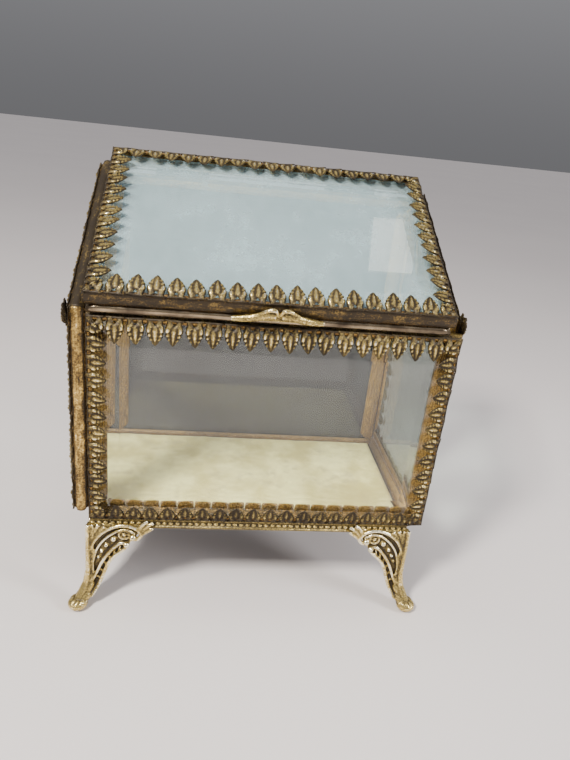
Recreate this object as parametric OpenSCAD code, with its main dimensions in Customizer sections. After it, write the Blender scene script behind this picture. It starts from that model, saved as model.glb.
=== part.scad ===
// Slant-lidded vanity trinket box: bevelled glass panes framed in stamped leaf gallery
// channel, on four cast scroll feet. Millimetres, +Z up, front towards -Y, origin on the
// surface it stands on, under the middle of the box.

/* [Body] */
// Width of the front pane and of the lid
panel_w = 96; // [88:1:110]
// Depth of the box, outside the front and back panes
box_d = 55; // [50:1:64]
// Height of the front, from the tray's underside to the top of its frame
front_h = 65; // [58:1:74]
// Slope of the lid, rising to the back
slope = 28.5; // [22:0.5:32]
// Thickness of a framed pane on the body
frame_t = 4; // [3.8:0.1:4.6]
// How far the side panes stand above the lid's seat
side_rise = 1.5; // [1:0.1:2]
// How far the side panes start above the front and back panes
side_lift = 3; // [2:0.1:4]
// Height of the tray's lip
lip_h = 3.2; // [2.8:0.1:4]

/* [Lid] */
// Thickness of the lid's framed pane
lid_t = 4.4; // [4:0.1:5]
// Height of the plain rails under the lid
rail_h = 2.6; // [2.2:0.1:3]
// Gap between the rails and their seat
seat_gap = 0.4; // [0.3:0.05:0.5]
// Length of the thumb lift
lift_w = 25; // [20:1:30]

/* [Gallery] */
// Spacing of the stamped leaves
leaf_pitch = 5; // [4.5:0.1:6]
// Length of the hanging leaves along the front and back tops
leaf_top = 7.2; // [6:0.1:8]
// Length of the leaves on upright and bottom channels
leaf_side = 5.4; // [5:0.1:6]
// Length of the leaves on the lid
leaf_lid = 6.2; // [6:0.1:8]

/* [Glass] */
// Thickness of the glass
glass_t = 2.8; // [2.6:0.1:2.9]
// Width of the frame and bevel together, from a pane's outer edge
bevel_w = 8.5; // [7:0.5:10]
// Depth of the bevel at the edge of the glass
bevel_h = 1.2; // [0.8:0.1:1.5]

/* [Feet] */
// Height of the feet
foot_h = 27; // [22:1:32]
// Reach of a foot's scroll wings along the box
wing_w = 20; // [18:1:22]
// Outward step of each toe, along both sides
toe_out = 2.8; // [2:0.1:3]

/* [Hinges] */
// Width of each hinge
hinge_w = 16; // [14:1:20]
// Distance of the hinges from the middle
hinge_x = 27; // [22:1:34]
// Radius of the hinge pins
pin_r = 0.6; // [0.5:0.05:0.7]

/* [Hidden] */
$fn = 48;

sheet = 0.5;            // thickness of the stamped channel
relief = 0.7;           // how far the leaves stand out of the channel
flange_in = 5.2;        // height of the plain inner flange
leaf_root = 2.2;        // height of the band that the leaves grow from
glass_gap = 0.7;        // from a pane's outer edge to the edge of its glass
bearing_gap = 0.05;     // running clearance round the hinge pins
half_w = panel_w / 2;
half_d = box_d / 2;
tray_z = foot_h;
pane_z = foot_h + lip_h;
pane_h = front_h - lip_h;
seat_z = foot_h + front_h;
rise = tan(slope);
front_w = panel_w + frame_t;
back_h = pane_h + (box_d - frame_t) * rise;
side_h = pane_h - side_lift + side_rise / cos(slope);
lid_len = box_d / cos(slope);
lid_n = seat_gap + rail_h;

tray_sheet = 1;
tray_wall = 1.2;
end_lap = 1;            // how far the tray's end walls stand up inside the side panes
board_gap = 0.2;
pad_h = 2.5;
pad_gap = 0.3;

rail_w = 3.2;
rail_proud = 0.4;
rail_side_gap = 0.4;

plate_t = 0.5;
knuckle_r = 1.3;
knuckle_gap = 0.2;
knuckle_w = (hinge_w - 2 * knuckle_gap) / 3;
hinge_y = half_d + 1.8;
back_top_z = pane_z + back_h;
hinge_z = back_top_z + 0.9;

foot_proud = 0.8;
foot_t = 2.2;
toe_r = 2.8;
toe_z = 2.4;

// Outlines of the panes: the front one laps over the end of the right one, and the left
// one laps over the end of the front one
front_pts = [[0, 0], [front_w, 0], [front_w, pane_h], [0, pane_h]];
back_pts = [[0, 0], [panel_w, 0], [panel_w, back_h], [0, back_h]];
left_pts = [[0, 0], [box_d, 0], [box_d, side_h + box_d * rise], [0, side_h]];
right_pts = [[0, 0], [box_d - frame_t, 0], [box_d - frame_t, side_h + box_d * rise],
    [0, side_h + frame_t * rise]];
lid_pts = [[0, 0], [panel_w, 0], [panel_w, lid_len], [0, lid_len]];

gilt = "#b8924e";
dark_gilt = "#6b5234";
glass_tint = [0.80, 0.88, 0.88, 0.45];

// --- pane outlines and their edges -------------------------------------------------

function edge_vec(pts, i) = pts[(i + 1) % len(pts)] - pts[i];
function edge_angle(pts, i) = atan2(edge_vec(pts, i).y, edge_vec(pts, i).x);
function turn(pts, i) =
    edge_angle(pts, i) - edge_angle(pts, (i + len(pts) - 1) % len(pts));

// Angle inside an outline at its point i
function corner(pts, i) = abs(180 - abs(turn(pts, i)));

// Band of height h along an edge, cut at the mitres of both corners
function mitred(length, h, a0, a1) = [[0, 0], [length, 0],
    [length - h / tan(a1 / 2), h], [h / tan(a0 / 2), h]];

// Leaf points along a band that is h high
function leaf_row(length, h, count) = concat([[0, 0], [length, 0], [length, leaf_root]],
    [for (i = [0 : 2 * count - 1]) [length * (1 - (i + 0.5) / (2 * count)),
        i % 2 == 0 ? leaf_root : h]], [[0, leaf_root]]);

module on_edge(pts, i)
    translate([pts[i].x, pts[i].y, 0])
        rotate([0, 0, edge_angle(pts, i)])
            children();

// Stamped channel along one edge of a pane, its leaves on the outer face (+Z)
module gallery(pts, i, t, leaf_h) {
    length = norm(edge_vec(pts, i));
    a0 = corner(pts, i);
    a1 = corner(pts, (i + 1) % len(pts));
    count = round(length / leaf_pitch);
    color(gilt)
        on_edge(pts, i)
            intersection() {
                union() {
                    cube([length, sheet, t]);
                    cube([length, flange_in, sheet]);
                    translate([0, 0, t - sheet])
                        linear_extrude(sheet + relief)
                            polygon(leaf_row(length, leaf_h, count));
                }
                translate([0, 0, -1])
                    linear_extrude(t + relief + 2)
                        polygon(mitred(length, leaf_h + 1, a0, a1));
            }
}

// Bevelled glass that fits in the channels of a pane
module pane(pts, t) {
    glass_z = (t - glass_t) / 2;
    color(glass_tint)
        translate([0, 0, glass_z])
            difference() {
                linear_extrude(glass_t)
                    polygon(pts);
                for (i = [0 : len(pts) - 1])
                    on_edge(pts, i)
                        edge_cut(norm(edge_vec(pts, i)));
            }
}

// Material taken off along one edge of the glass: the margin and the bevel wedge
module edge_cut(length) {
    over = 30;
    translate([-over, -over, -1])
        cube([length + 2 * over, over + glass_gap, glass_t + 2]);
    translate([length + over, 0, glass_t])
        rotate([0, -90, 0])
            linear_extrude(length + 2 * over)
                polygon([[1, -1], [1, bevel_w], [0, bevel_w], [-bevel_h, glass_gap],
                    [-bevel_h, -1]]);
}

// --- where each pane stands: local X along it, Y up it, Z outwards -----------------

module front_face()
    translate([-half_w, -half_d + frame_t, pane_z])
        rotate([90, 0, 0])
            children();

module back_face()
    translate([half_w, half_d - frame_t, pane_z])
        rotate([90, 0, 180])
            children();

module side_face()
    translate([half_w, -half_d, pane_z + side_lift])
        rotate([90, 0, 90])
            children();

module right_face()
    translate([0, frame_t, 0])
        side_face()
            children();

module left_face()
    mirror([1, 0, 0])
        side_face()
            children();

module lid_face()
    translate([-half_w, -half_d, seat_z])
        rotate([slope, 0, 0])
            children();

module lid_pane_face()
    lid_face()
        translate([0, 0, lid_n])
            children();

// --- floor ---------------------------------------------------------------------------

// Pan under the panes, with end walls that stand up inside the side panes
module base_tray() {
    end_h = lip_h + side_lift + end_lap;
    color(gilt)
        translate([-half_w, -half_d, tray_z])
            union() {
                difference() {
                    cube([panel_w, box_d, lip_h]);
                    translate([tray_wall, tray_wall, tray_sheet])
                        cube([panel_w - 2 * tray_wall, box_d - 2 * tray_wall, lip_h]);
                }
                for (x = [0, panel_w - tray_wall])
                    translate([x, frame_t, 0])
                        cube([tray_wall, box_d - 2 * frame_t, end_h]);
            }
}

module floor_board() {
    inset = tray_wall + board_gap;
    color("tan")
        translate([inset - half_w, inset - half_d, tray_z + tray_sheet])
            cube([panel_w - 2 * inset, box_d - 2 * inset, lip_h - tray_sheet]);
}

module floor_pad() {
    pad_w = panel_w - 2 * (tray_wall + pad_gap);
    pad_d = box_d - 2 * (frame_t + pad_gap);
    color("cornsilk")
        translate([-pad_w / 2, -pad_d / 2, pane_z])
            cube([pad_w, pad_d, pad_h]);
}

// --- feet ----------------------------------------------------------------------------

function curve(a, b, c, n) = [for (i = [0 : n])
    let(t = i / n) a * (1 - t) * (1 - t) + b * 2 * t * (1 - t) + c * t * t];

function arc(centre, r, from, to, n) = [for (i = [0 : n])
    let(a = from + (to - from) * i / n) centre + r * [cos(a), sin(a)]];

// Scroll bracket seen square on: U runs along the box, V up from the floor
module wing_outline() {
    top = foot_h + 1.6;
    volute = [wing_w - 6.6, foot_h - 3.8];
    volute_r = 2.6;
    knee = [1.9, 6];
    polygon(concat(
        [[0, 8], [0, top], [wing_w, top], [wing_w - 0.8, top - 3], [wing_w - 4, top - 3.2]],
        arc(volute, volute_r, 20, -110, 10),
        curve(volute + [-2.2, -2.6], [knee.x + 3, 16], knee, 10)));
}

// Curved leg from the corner ridge out to the toe, in the plane of the diagonal
module leg_outline() {
    reach = toe_out * sqrt(2);
    outer = curve([0.6, 15], [0.2, 7], [reach + 1, toe_z], 8);
    inner = curve([reach - 1.6, toe_z - 1.2], [-2.6, 6.4], [-2.2, 15], 8);
    polygon(concat(outer, inner));
}

// Foot of the front left corner, its outer corner at the origin
module scroll_foot() {
    leg_w = 3;
    pad = 9;
    color(gilt)
        union() {
            intersection() {
                union() {
                    translate([0, foot_t, 0])
                        rotate([90, 0, 0])
                            linear_extrude(foot_t)
                                wing_outline();
                    mirror([1, -1, 0])
                        translate([0, foot_t, 0])
                            rotate([90, 0, 0])
                                linear_extrude(foot_t)
                                    wing_outline();
                }
                union() {
                    cube([wing_w + 1, wing_w + 1, foot_h]);
                    cube([wing_w + 1, foot_proud, foot_h + 3]);
                    cube([foot_proud, wing_w + 1, foot_h + 3]);
                }
            }
            translate([0, 0, foot_h - 1])
                cube([pad, pad, 1]);
            rotate([0, 0, 225])
                rotate([90, 0, 0])
                    translate([0, 0, -leg_w / 2])
                        linear_extrude(leg_w)
                            leg_outline();
            intersection() {
                translate([-toe_out, -toe_out, toe_z])
                    sphere(toe_r);
                translate([-10, -10, 0])
                    cube(20);
            }
        }
}

module foot_front_left()
    translate([-half_w - foot_proud, -half_d - foot_proud, 0])
        scroll_foot();

module foot_front_right()
    mirror([1, 0, 0])
        foot_front_left();

module foot_back_left()
    mirror([0, 1, 0])
        foot_front_left();

module foot_back_right()
    mirror([1, 0, 0])
        foot_back_left();

// --- hinges --------------------------------------------------------------------------

module at_hinge(side)
    translate([side * hinge_x, hinge_y, hinge_z])
        children();

// Tube along X, centred at x
module knuckle(x, w)
    translate([x - w / 2, 0, 0])
        rotate([0, 90, 0])
            cylinder(r = knuckle_r, h = w);

module pin_bore()
    translate([-hinge_w, 0, 0])
        rotate([0, 90, 0])
            cylinder(r = pin_r + bearing_gap, h = 2 * hinge_w);

// Plate on top of the back frame, with the two outer knuckles
module hinge_plate(side) {
    web_z = back_top_z - hinge_z;
    plate_end = -knuckle_r - knuckle_gap;
    outer_x = knuckle_w + knuckle_gap;
    color(gilt)
        at_hinge(side)
            difference() {
                union() {
                    translate([-hinge_w / 2, -4.6, web_z])
                        cube([hinge_w, 4.6 + plate_end, plate_t]);
                    for (x = [-outer_x, outer_x]) {
                        translate([x - knuckle_w / 2, plate_end - 1, web_z])
                            cube([knuckle_w, 1 - plate_end, plate_t]);
                        knuckle(x, knuckle_w);
                    }
                }
                pin_bore();
            }
}

module hinge_pin(side)
    color(dark_gilt)
        at_hinge(side)
            translate([-hinge_w / 2 - 0.4, 0, 0])
                rotate([0, 90, 0])
                    cylinder(r = pin_r, h = hinge_w + 0.8);

// Point at height n above the lid's seat and s behind its back edge, seen from the pin
function strap_pt(s, n) = [
    half_d + s * cos(slope) - n * sin(slope) - hinge_y,
    seat_z + box_d * rise + s * sin(slope) + n * cos(slope) - hinge_z];

module yz_plate(w, pts)
    translate([-w / 2, 0, 0])
        rotate([90, 0, 90])
            linear_extrude(w)
                polygon(pts);

// Strap up the back rail, with the middle knuckle
module hinge_strap(side) {
    low = 1;
    color(gilt)
        at_hinge(side)
            difference() {
                union() {
                    yz_plate(hinge_w, [strap_pt(0, low), strap_pt(plate_t, low),
                        strap_pt(plate_t, lid_n), strap_pt(0, lid_n)]);
                    yz_plate(knuckle_w, [strap_pt(0, low), [-0.9, 0.6], [0.5, 0.8],
                        strap_pt(plate_t, low), strap_pt(plate_t, lid_n),
                        strap_pt(0, lid_n)]);
                    knuckle(0, knuckle_w);
                }
                pin_bore();
            }
}

// --- lid -----------------------------------------------------------------------------

// Outline of the plain rails under the lid; the front one stands a little proud
rail_pts = [[rail_side_gap, -rail_proud], [panel_w - rail_side_gap, -rail_proud],
    [panel_w - rail_side_gap, lid_len], [rail_side_gap, lid_len]];

module lid_rail(i)
    color(dark_gilt)
        lid_face()
            translate([0, 0, seat_gap])
                on_edge(rail_pts, i)
                    linear_extrude(rail_h)
                        polygon(mitred(norm(edge_vec(rail_pts, i)), rail_w, 90, 90));

// Bow-shaped lift: two swept arms that rise to a hump in the middle
module thumb_lift() {
    low = 1.8;
    arm_h = 3.8;
    neck_h = 5;
    hump_h = 8.4;
    depth = 2.2;
    half = lift_w / 2;
    neck = half / 4;
    upper = concat(curve([-half, arm_h], [-half / 2, arm_h], [-neck, neck_h], 6),
        curve([-neck, neck_h], [0, hump_h], [neck, neck_h], 8),
        curve([neck, neck_h], [half / 2, arm_h], [half, arm_h], 6));
    lower = curve([half, low], [0, low + 1], [-half, low], 8);
    color(gilt)
        lid_face()
            translate([half_w, -rail_proud, seat_gap])
                rotate([90, 0, 0])
                    linear_extrude(depth)
                        polygon(concat(upper, lower));
}

// --- the assembly --------------------------------------------------------------------

base_tray();
floor_board();
floor_pad();
foot_front_left();
foot_front_right();
foot_back_left();
foot_back_right();
front_face() pane(front_pts, frame_t);  // glass_front
front_face() gallery(front_pts, 0, frame_t, leaf_side);  // gallery_front_bottom
front_face() gallery(front_pts, 1, frame_t, leaf_side);  // gallery_front_right
front_face() gallery(front_pts, 2, frame_t, leaf_top);  // gallery_front_top
front_face() gallery(front_pts, 3, frame_t, leaf_side);  // gallery_front_left
back_face() pane(back_pts, frame_t);  // glass_back
back_face() gallery(back_pts, 0, frame_t, leaf_side);  // gallery_back_bottom
back_face() gallery(back_pts, 1, frame_t, leaf_side);  // gallery_back_left
back_face() gallery(back_pts, 2, frame_t, leaf_top);  // gallery_back_top
back_face() gallery(back_pts, 3, frame_t, leaf_side);  // gallery_back_right
right_face() pane(right_pts, frame_t);  // glass_right
right_face() gallery(right_pts, 0, frame_t, leaf_side);  // gallery_right_bottom
right_face() gallery(right_pts, 1, frame_t, leaf_side);  // gallery_right_back
right_face() gallery(right_pts, 2, frame_t, leaf_side);  // gallery_right_top
right_face() gallery(right_pts, 3, frame_t, leaf_side);  // gallery_right_front
left_face() pane(left_pts, frame_t);  // glass_left
left_face() gallery(left_pts, 0, frame_t, leaf_side);  // gallery_left_bottom
left_face() gallery(left_pts, 1, frame_t, leaf_side);  // gallery_left_back
left_face() gallery(left_pts, 2, frame_t, leaf_side);  // gallery_left_top
left_face() gallery(left_pts, 3, frame_t, leaf_side);  // gallery_left_front
hinge_plate(-1);  // hinge_plate_left
hinge_plate(1);  // hinge_plate_right
hinge_pin(-1);  // hinge_pin_left
hinge_pin(1);  // hinge_pin_right
lid_pane_face() pane(lid_pts, lid_t);  // glass_lid
lid_pane_face() gallery(lid_pts, 0, lid_t, leaf_lid);  // gallery_lid_front
lid_pane_face() gallery(lid_pts, 1, lid_t, leaf_lid);  // gallery_lid_right
lid_pane_face() gallery(lid_pts, 2, lid_t, leaf_lid);  // gallery_lid_back
lid_pane_face() gallery(lid_pts, 3, lid_t, leaf_lid);  // gallery_lid_left
lid_rail(0);  // lid_rail_front
lid_rail(1);  // lid_rail_right
lid_rail(2);  // lid_rail_back
lid_rail(3);  // lid_rail_left
hinge_strap(-1);  // hinge_strap_left
hinge_strap(1);  // hinge_strap_right
thumb_lift();
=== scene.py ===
# Slant-lidded vanity trinket box: bevelled glass in stamped leaf gallery channel, on four cast
# scroll feet. Pieces are built in millimetres and placed in the frame's metres at the end.
import math

import bmesh
import bpy
import numpy as np
from mathutils import Matrix, Vector, noise


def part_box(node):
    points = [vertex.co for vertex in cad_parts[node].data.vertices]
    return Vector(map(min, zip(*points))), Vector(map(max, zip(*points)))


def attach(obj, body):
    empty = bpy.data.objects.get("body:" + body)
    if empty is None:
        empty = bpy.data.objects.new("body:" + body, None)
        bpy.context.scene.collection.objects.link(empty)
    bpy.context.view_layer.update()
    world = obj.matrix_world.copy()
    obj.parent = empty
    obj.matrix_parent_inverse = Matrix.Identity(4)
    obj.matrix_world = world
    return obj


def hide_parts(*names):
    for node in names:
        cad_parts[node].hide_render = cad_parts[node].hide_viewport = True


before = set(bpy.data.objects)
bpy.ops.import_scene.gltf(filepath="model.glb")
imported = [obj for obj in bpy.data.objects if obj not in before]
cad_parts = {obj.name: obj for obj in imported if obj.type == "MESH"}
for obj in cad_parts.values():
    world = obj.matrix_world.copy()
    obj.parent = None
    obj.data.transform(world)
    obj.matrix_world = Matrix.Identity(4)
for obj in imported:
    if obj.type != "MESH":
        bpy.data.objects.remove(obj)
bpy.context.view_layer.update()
MM = 0.001

# --- sizes of the stamped channel and the panes ---------------------------------------
SLOPE = math.radians(28.5)
FRAME_T = 4.0
LID_T = 4.4
LID_LIFT = 3.0          # height of the lid's framed pane over its seat
SEAT_GAP = 0.4
GLASS_GAP = 0.7         # from a pane's outer edge to the edge of its glass
LIFT_RAISE = 2.0        # height of the thumb lift over the lid's seat
LIFT_ASIDE = 0.6        # how far it sits to the right of its place
LIFT_PROUD = 0.45       # how far it stands out from the seat's edge
LEAF_PITCH = 5.0
LEAF_TOP = 7.2          # lengths of the leaves on each kind of channel
LEAF_SIDE = 5.4
LEAF_BOTTOM = 4.7
LEAF_LOW = 3.3
LEAF_LID = 6.3
FLANGE_BODY = 2.8       # reach of the flange behind the glass
FLANGE_LID = 2.6
TAB = 2.4               # reach of the tabs past the flange
RAIL_WIDE = 3.2
RAIL_HIGH = 2.6
RAIL_ROUND = 1.15
RAIL_INSET = 0.4        # how far the rails stand in from the lid's edge
STAMPING_WALL = 0.32    # sheet thickness of the leaves and tabs
CHANNEL_WALL = 0.4
CHANNEL_STEP = 0.8      # spacing of the cross sections along a channel
RAIL_STEP = 2.0         # and along a rail
LEAF_WOBBLE = 0.07      # largest random turn of a leaf and of a bead, in radians
BEAD_WOBBLE = 0.05
BEAD_PITCH = 1.9        # spacing of the beads on the tray's lip
END_WALL = 1.1          # thickness of the tray's end walls
END_WALL_INSET = 0.6    # from the tray's edge to the middle of an end wall
END_WALL_SINK = 0.6     # how deep its foot stands in the tray
PAD_CLEAR = 0.15        # gap between the pad and the sides of its place
WARP_SPACING = 0.42
WEFT_SPACING = 0.55
SEED = 7


def node_box(name):
    """A node's corners in millimetres."""
    lo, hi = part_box(name)
    return Vector(lo) / MM, Vector(hi) / MM


tray_lo, tray_hi = node_box("base_tray")
HALF_W = tray_hi.x
HALF_D = tray_hi.y
PANE_Z = node_box("glass_front")[0].z - GLASS_GAP
SEAT_Z = node_box("gallery_front_top")[1].z
BACK_Z = node_box("gallery_back_top")[1].z
FRONT_END = node_box("gallery_front_top")[1].x
SIDE_Z = node_box("gallery_left_bottom")[0].z
SIDE_FRONT_Z = node_box("gallery_left_front")[1].z
RISE = math.tan(SLOPE)
LID_LEN = 2 * HALF_D / math.cos(SLOPE)


# --- materials -------------------------------------------------------------------------
def set_socket(tree, slot, value):
    """Links an output to a socket, or gives the socket a plain value."""
    if isinstance(value, Value):
        value = value.socket
    if isinstance(value, bpy.types.NodeSocket):
        tree.links.new(value, slot)
    else:
        slot.default_value = value


def add_node(tree, kind, settings=None, **sockets):
    """A node with its settings, then the values or links of its sockets."""
    made = tree.nodes.new(kind)
    for key, value in (settings or {}).items():
        setattr(made, key, value)
    for key, value in sockets.items():
        set_socket(tree, made.inputs[key.replace("_", " ")], value)
    return made


class Value:
    """A number in a node tree, with the operators that the finishes use."""

    def __init__(self, tree, socket):
        self.tree = tree
        self.socket = socket

    def _math(self, operation, *values):
        """The result of one operation on these values."""
        made = add_node(self.tree, "ShaderNodeMath", {"operation": operation})
        for slot, value in zip(made.inputs, values):
            set_socket(self.tree, slot, value)
        return Value(self.tree, made.outputs[0])

    def __add__(self, other):
        return self._math("ADD", self, other)

    __radd__ = __add__

    def __sub__(self, other):
        return self._math("SUBTRACT", self, other)

    def __rsub__(self, other):
        return self._math("SUBTRACT", other, self)

    def __mul__(self, other):
        return self._math("MULTIPLY", self, other)

    __rmul__ = __mul__

    def sine(self):
        """A wave from -1 to 1, with this value as its angle."""
        return self._math("SINE", self)

    def step(self, low, high):
        """0 below low, 1 above high, and smooth between."""
        made = add_node(self.tree, "ShaderNodeMapRange", {"interpolation_type": "SMOOTHSTEP"},
                        Value=self, From_Min=low, From_Max=high)
        return Value(self.tree, made.outputs["Result"])


class Finish:
    """One procedural material, built node by node."""

    def __init__(self, name):
        self.material = bpy.data.materials.new(name)
        self.material.use_nodes = True
        self.tree = self.material.node_tree
        self.tree.nodes.clear()
        self.out = self.node("ShaderNodeOutputMaterial")
        self.coords = self.node("ShaderNodeTexCoord").outputs["Object"]

    def node(self, kind, settings=None, **sockets):
        """Any node of this material."""
        return add_node(self.tree, kind, settings, **sockets)

    def value(self, socket):
        """A socket's number, ready for the operators."""
        return Value(self.tree, socket)

    def noise(self, size_mm, detail=3.0, rough=0.5, stretch=(1, 1, 1)):
        """Noise with features about size_mm across."""
        place = self.node("ShaderNodeMapping", Vector=self.coords, Scale=stretch)
        made = self.node("ShaderNodeTexNoise", Vector=place.outputs[0],
                         Scale=1 / (size_mm * MM), Detail=detail, Roughness=rough)
        return self.value(made.outputs[0])

    def attribute(self, name):
        """A mark stored on the points of a mesh."""
        made = self.node("ShaderNodeAttribute", {"attribute_name": name})
        return self.value(made.outputs["Fac"])

    def blend(self, factor, a, b):
        """Colour a where factor is 0 and b where it is 1."""
        made = self.node("ShaderNodeMix", {"data_type": "RGBA"})
        for slot, value in ((0, factor), (6, a), (7, b)):
            set_socket(self.tree, made.inputs[slot], value)
        return made.outputs[2]

    def layer(self, factor, a, b):
        """Shader a where factor is 0 and b where it is 1."""
        made = self.node("ShaderNodeMixShader")
        for slot, value in zip(made.inputs, (factor, a.outputs[0], b.outputs[0])):
            set_socket(self.tree, slot, value)
        return made

    def bump(self, height, strength, distance_mm, base=None):
        """A normal that follows height, over the base normal where one is given."""
        made = self.node("ShaderNodeBump", Height=height, Strength=strength,
                         Distance=distance_mm * MM)
        if base is not None:
            set_socket(self.tree, made.inputs["Normal"], base)
        return made.outputs[0]

    def principled(self, **sockets):
        """The main shader of a finish."""
        return self.node("ShaderNodeBsdfPrincipled", **sockets)

    def finish(self, shader):
        """The material, with this shader on its surface."""
        self.tree.links.new(shader.outputs[0], self.out.inputs["Surface"])
        return self.material


def gilt_finish():
    """Aged gilt on stamped brass: painted highlights on the veins, patina and painted shade in the
    hollows, and amber-brown lacquer on the plain channel, whose streaks run along it."""
    f = Finish("aged_gilt")
    relief = f.attribute("relief")
    amber = f.attribute("amber")
    lengthways = f.node("ShaderNodeCombineXYZ", X=f.attribute("along") * 0.16,
                        Y=f.attribute("around") * 3.2)
    streaks = f.node("ShaderNodeTexNoise", Vector=lengthways.outputs[0], Scale=1.0, Detail=3.0)
    streak = f.value(streaks.outputs[0])
    wear = f.noise(11.0, 4.0, 0.6)
    # Besides roughness and bumps, this fine noise paints sparkle highlights into the colour.
    speck = f.noise(0.5, 3.0, 0.7)
    # Brightness of the gilt: the relief mark paints patina and shade in the hollows and light on the
    # raised parts, over real wear, specks and lacquer streaks.
    wear_and_painted_light = relief - 0.05 + (wear - 0.5) * (0.6 - amber * 0.3) + (speck - 0.5) * 1.2
    wear_and_painted_light = wear_and_painted_light + (streak - 0.5) * amber * 0.7
    above_hollow_shade = wear_and_painted_light.step(0.14, 0.40)
    bright = wear_and_painted_light.step(0.36, 0.74)
    glint = wear_and_painted_light.step(0.68, 0.94)
    # Near black where the mark is lowest: the hollows' patina together with painted shade.
    patina_and_painted_shade = f.blend(wear, (0.014, 0.009, 0.004, 1), (0.045, 0.029, 0.012, 1))
    olive = f.blend(amber * 0.8, (0.130, 0.092, 0.028, 1), (0.20, 0.098, 0.018, 1))
    gold = f.blend(amber * 0.7, (0.64, 0.48, 0.155, 1), (0.62, 0.36, 0.085, 1))
    colour = f.blend(above_hollow_shade, patina_and_painted_shade, olive)
    # Gold on the raised parts is rubbed gilt with painted light on it.
    colour = f.blend(bright, colour, gold)
    # Cream-white on the highest parts is a painted highlight.
    colour = f.blend(glint, colour, (1.0, 0.95, 0.72, 1))
    rough = 0.52 - bright * 0.32 + (speck - 0.5) * 0.18
    bump = f.bump(speck, 0.6, 0.12)
    bump = f.bump(streak, amber * 0.5, 0.30, bump)
    return f.finish(f.principled(Base_Color=colour, Roughness=rough, Metallic=0.45 + bright * 0.55,
                                 Normal=bump))


def rail_finish():
    """Plain brass rail, darkened to grey-brown, with drawn streaks along it."""
    f = Finish("aged_rail")
    streak = f.noise(1.6, 3.0, 0.6, stretch=(0.08, 1, 1))
    blotch = f.noise(7.0, 4.0, 0.6)
    tone = (streak * 0.6 + blotch * 0.6).step(0.42, 0.82)
    colour = f.blend(tone, (0.060, 0.044, 0.032, 1), (0.46, 0.36, 0.23, 1))
    bump = f.bump(streak, 0.25, 0.06)
    return f.finish(f.principled(Base_Color=colour, Roughness=0.32 - tone * 0.10,
                                 Metallic=0.95, Normal=bump))


def glass_finish(name, tint, film_and_light_low, film_and_light_high, film_and_light_colour):
    """Bevelled plate under a film that is part dust and part painted light, a pale painted
    reflection on the lid and painted shade on the back; it lets lamps through.
    """
    f = Finish(name)
    cloud = f.noise(22.0, 4.0, 0.6)
    smear = f.noise(3.0, 3.0, 0.6, stretch=(1, 1, 0.22))
    haze = (cloud * 0.7 + smear * 0.5).step(0.42, 0.88)
    plate = f.principled(Base_Color=tint, Roughness=0.01 + haze * 0.03, IOR=1.5,
                         Transmission_Weight=1.0)
    dust_and_painted_light = f.principled(Base_Color=film_and_light_colour, Roughness=0.7)
    filmed = f.layer(haze * (film_and_light_high - film_and_light_low) + film_and_light_low, plate, dust_and_painted_light)
    clear = f.node("ShaderNodeBsdfTransparent", Color=(0.90, 0.94, 0.93, 1))
    path = f.node("ShaderNodeLightPath")
    return f.finish(f.layer(path.outputs["Is Shadow Ray"], filmed, clear))


def satin_finish():
    """Cream satin, yellowed, with a fine weave, tide marks and a few specks."""
    f = Finish("yellowed_satin")
    place = f.node("ShaderNodeSeparateXYZ", Vector=f.coords)
    along = f.value(place.outputs[0])
    across = f.value(place.outputs[1])
    warp = (along * (2 * math.pi / (WARP_SPACING * MM))).sine()
    weft = (across * (2 * math.pi / (WEFT_SPACING * MM))).sine()
    weave = warp * 0.5 + weft * 0.5
    cloud = f.noise(14.0, 4.0, 0.6)
    stain = f.noise(6.0, 5.0, 0.62).step(0.52, 0.72)
    speck = f.noise(1.3, 2.0, 0.5).step(0.70, 0.78)
    cloth = f.blend(cloud.step(0.32, 0.68), (0.56, 0.45, 0.14, 1), (0.92, 0.82, 0.36, 1))
    cloth = f.blend(stain * 0.75, cloth, (0.50, 0.40, 0.17, 1))
    cloth = f.blend(speck * 0.5, cloth, (0.34, 0.27, 0.15, 1))
    bump = f.bump(weave, 0.25, 0.03)
    bump = f.bump(cloud, 0.4, 0.6, bump)
    return f.finish(f.principled(Base_Color=cloth, Roughness=0.52 - cloud * 0.1, Normal=bump,
                                 Sheen_Weight=0.10, Sheen_Roughness=0.4))


def board_finish():
    """Grey-brown pasteboard with fibres."""
    f = Finish("pasteboard")
    fibre = f.noise(0.8, 4.0, 0.7, stretch=(0.3, 1, 1))
    colour = f.blend(fibre, (0.20, 0.15, 0.10, 1), (0.36, 0.29, 0.20, 1))
    return f.finish(f.principled(Base_Color=colour, Roughness=0.9, Normal=f.bump(fibre, 0.4, 0.1)))


def floor_finish():
    """Pale matt studio floor."""
    f = Finish("studio_floor")
    tone = f.noise(160.0, 2.0)
    colour = f.blend(tone, (0.70, 0.64, 0.62, 1), (0.76, 0.70, 0.67, 1))
    return f.finish(f.principled(Base_Color=colour, Roughness=0.75))


gilt = gilt_finish()
rail = rail_finish()
front_glass = glass_finish("clear_glass", (0.92, 0.93, 0.90, 1), 0.0, 0.03,
                           (0.46, 0.47, 0.42, 1))
# Side panes: grey-green tint darkened as painted shade to dim the inside, under a little dust.
side_glass = glass_finish("dusty_glass", (0.34, 0.38, 0.36, 1), 0.03, 0.14,
                          (0.26, 0.30, 0.28, 1))
# Back pane: near-black tint and dark film, painted shade that darkens what is seen through it.
back_glass = glass_finish("smoky_glass", (0.04, 0.045, 0.052, 1), 0.06, 0.34,
                          (0.055, 0.060, 0.065, 1))
# Lid pane: pale blue-grey film, partly milky haze and partly a painted reflection of a bright sky.
lid_glass = glass_finish("milky_glass", (0.80, 0.90, 0.91, 1), 0.26, 0.44,
                         (0.42, 0.54, 0.56, 1))
satin = satin_finish()
board = board_finish()


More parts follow.
